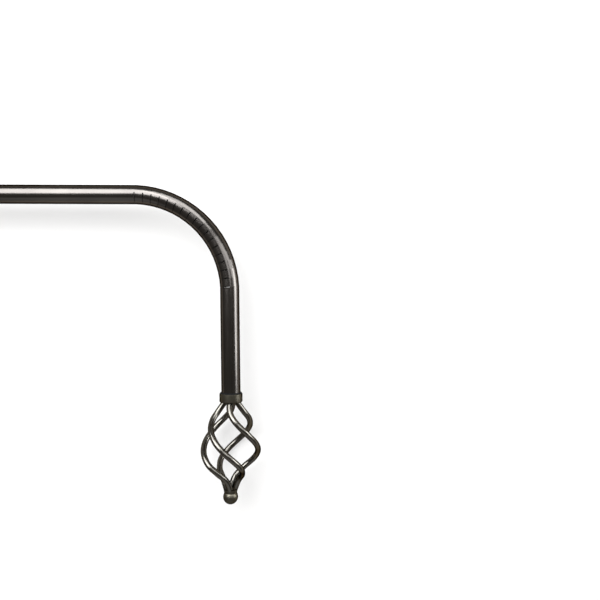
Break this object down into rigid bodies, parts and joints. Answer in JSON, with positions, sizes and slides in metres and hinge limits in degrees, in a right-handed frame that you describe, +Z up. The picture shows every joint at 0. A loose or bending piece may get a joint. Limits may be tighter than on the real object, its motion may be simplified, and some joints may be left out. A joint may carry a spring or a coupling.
{
  "type": "bay window curtain rod",
  "caption": "Curtain rod end for a bay window: round steel tube with a slotted bend that opens and closes, a straight arm, a collar and a twisted wire basket with a ball tip.",
  "frame": {"origin": "on the main tube's axis, where a wall bracket holds it, 120 mm before the first slot of the bend", "axes": "+Z up with the rod level, +X along the main tube towards the bend, which turns towards -Y"},
  "size_m": [0.4241, 0.316, 0.0586],
  "materials": {
    "tube": "satin pewter plate, brushed lengthwise",
    "finial": "satin pewter plate",
    "plug": "moulded",
    "stud": "zinc plated"
  },
  "bodies": {
    "main_section": {"main_tube": "tube"},
    "bend_rib_01": {"bend_rib_01": "tube"},
    "bend_rib_02": {"bend_rib_02": "tube"},
    "bend_rib_03": {"bend_rib_03": "tube"},
    "bend_rib_04": {"bend_rib_04": "tube"},
    "bend_rib_05": {"bend_rib_05": "tube"},
    "bend_rib_06": {"bend_rib_06": "tube"},
    "bend_rib_07": {"bend_rib_07": "tube"},
    "bend_rib_08": {"bend_rib_08": "tube"},
    "bend_rib_09": {"bend_rib_09": "tube"},
    "bend_rib_10": {"bend_rib_10": "tube"},
    "bend_rib_11": {"bend_rib_11": "tube"},
    "bend_rib_12": {"bend_rib_12": "tube"},
    "bend_rib_13": {"bend_rib_13": "tube"},
    "bend_rib_14": {"bend_rib_14": "tube"},
    "bend_rib_15": {"bend_rib_15": "tube"},
    "bend_rib_16": {"bend_rib_16": "tube"},
    "bend_rib_17": {"bend_rib_17": "tube"},
    "end_arm": {"end_tube": "tube", "finial_collar": "finial", "finial_plug": "plug", "finial_stud": "stud", "basket_wire_1": "finial", "basket_wire_2": "finial", "basket_wire_3": "finial", "basket_wire_4": "finial", "ball_tip": "finial"}
  },
  "joints": [
    {"name": "bend_01", "type": "hinge", "parent": "main_section", "child": "bend_rib_01", "pos_m": [0.12, 0.0095, 0], "axis": [0, 0, 1], "range_deg": [0, 4.95]},
    {"name": "bend_02", "type": "hinge", "parent": "bend_rib_01", "child": "bend_rib_02", "pos_m": [0.12917, 0.00871, 0], "axis": [0, 0, 1], "range_deg": [0, 4.95]},
    {"name": "bend_03", "type": "hinge", "parent": "bend_rib_02", "child": "bend_rib_03", "pos_m": [0.13823, 0.00712, 0], "axis": [0, 0, 1], "range_deg": [0, 4.95]},
    {"name": "bend_04", "type": "hinge", "parent": "bend_rib_03", "child": "bend_rib_04", "pos_m": [0.14712, 0.00477, 0], "axis": [0, 0, 1], "range_deg": [0, 4.95]},
    {"name": "bend_05", "type": "hinge", "parent": "bend_rib_04", "child": "bend_rib_05", "pos_m": [0.15578, 0.00165, 0], "axis": [0, 0, 1], "range_deg": [0, 4.95]},
    {"name": "bend_06", "type": "hinge", "parent": "bend_rib_05", "child": "bend_rib_06", "pos_m": [0.16413, -0.0022, 0], "axis": [0, 0, 1], "range_deg": [0, 4.95]},
    {"name": "bend_07", "type": "hinge", "parent": "bend_rib_06", "child": "bend_rib_07", "pos_m": [0.17212, -0.00676, 0], "axis": [0, 0, 1], "range_deg": [0, 4.95]},
    {"name": "bend_08", "type": "hinge", "parent": "bend_rib_07", "child": "bend_rib_08", "pos_m": [0.17969, -0.01199, 0], "axis": [0, 0, 1], "range_deg": [0, 4.95]},
    {"name": "bend_09", "type": "hinge", "parent": "bend_rib_08", "child": "bend_rib_09", "pos_m": [0.18678, -0.01785, 0], "axis": [0, 0, 1], "range_deg": [0, 4.95]},
    {"name": "bend_10", "type": "hinge", "parent": "bend_rib_09", "child": "bend_rib_10", "pos_m": [0.19334, -0.02431, 0], "axis": [0, 0, 1], "range_deg": [0, 4.95]},
    {"name": "bend_11", "type": "hinge", "parent": "bend_rib_10", "child": "bend_rib_11", "pos_m": [0.19931, -0.0313, 0], "axis": [0, 0, 1], "range_deg": [0, 4.95]},
    {"name": "bend_12", "type": "hinge", "parent": "bend_rib_11", "child": "bend_rib_12", "pos_m": [0.20466, -0.03879, 0], "axis": [0, 0, 1], "range_deg": [0, 4.95]},
    {"name": "bend_13", "type": "hinge", "parent": "bend_rib_12", "child": "bend_rib_13", "pos_m": [0.20934, -0.04671, 0], "axis": [0, 0, 1], "range_deg": [0, 4.95]},
    {"name": "bend_14", "type": "hinge", "parent": "bend_rib_13", "child": "bend_rib_14", "pos_m": [0.21333, -0.055, 0], "axis": [0, 0, 1], "range_deg": [0, 4.95]},
    {"name": "bend_15", "type": "hinge", "parent": "bend_rib_14", "child": "bend_rib_15", "pos_m": [0.21658, -0.06361, 0], "axis": [0, 0, 1], "range_deg": [0, 4.95]},
    {"name": "bend_16", "type": "hinge", "parent": "bend_rib_15", "child": "bend_rib_16", "pos_m": [0.21908, -0.07246, 0], "axis": [0, 0, 1], "range_deg": [0, 4.95]},
    {"name": "bend_17", "type": "hinge", "parent": "bend_rib_16", "child": "bend_rib_17", "pos_m": [0.2208, -0.0815, 0], "axis": [0, 0, 1], "range_deg": [0, 4.95]},
    {"name": "bend_18", "type": "hinge", "parent": "bend_rib_17", "child": "end_arm", "pos_m": [0.22174, -0.09065, 0], "axis": [0, 0, 1], "range_deg": [0, 4.95]}
  ],
  "couplings": [
    {"joint": "bend_02", "follows": "bend_01", "ratio": 1},
    {"joint": "bend_03", "follows": "bend_01", "ratio": 1},
    {"joint": "bend_04", "follows": "bend_01", "ratio": 1},
    {"joint": "bend_05", "follows": "bend_01", "ratio": 1},
    {"joint": "bend_06", "follows": "bend_01", "ratio": 1},
    {"joint": "bend_07", "follows": "bend_01", "ratio": 1},
    {"joint": "bend_08", "follows": "bend_01", "ratio": 1},
    {"joint": "bend_09", "follows": "bend_01", "ratio": 1},
    {"joint": "bend_10", "follows": "bend_01", "ratio": 1},
    {"joint": "bend_11", "follows": "bend_01", "ratio": 1},
    {"joint": "bend_12", "follows": "bend_01", "ratio": 1},
    {"joint": "bend_13", "follows": "bend_01", "ratio": 1},
    {"joint": "bend_14", "follows": "bend_01", "ratio": 1},
    {"joint": "bend_15", "follows": "bend_01", "ratio": 1},
    {"joint": "bend_16", "follows": "bend_01", "ratio": 1},
    {"joint": "bend_17", "follows": "bend_01", "ratio": 1},
    {"joint": "bend_18", "follows": "bend_01", "ratio": 1}
  ]
}
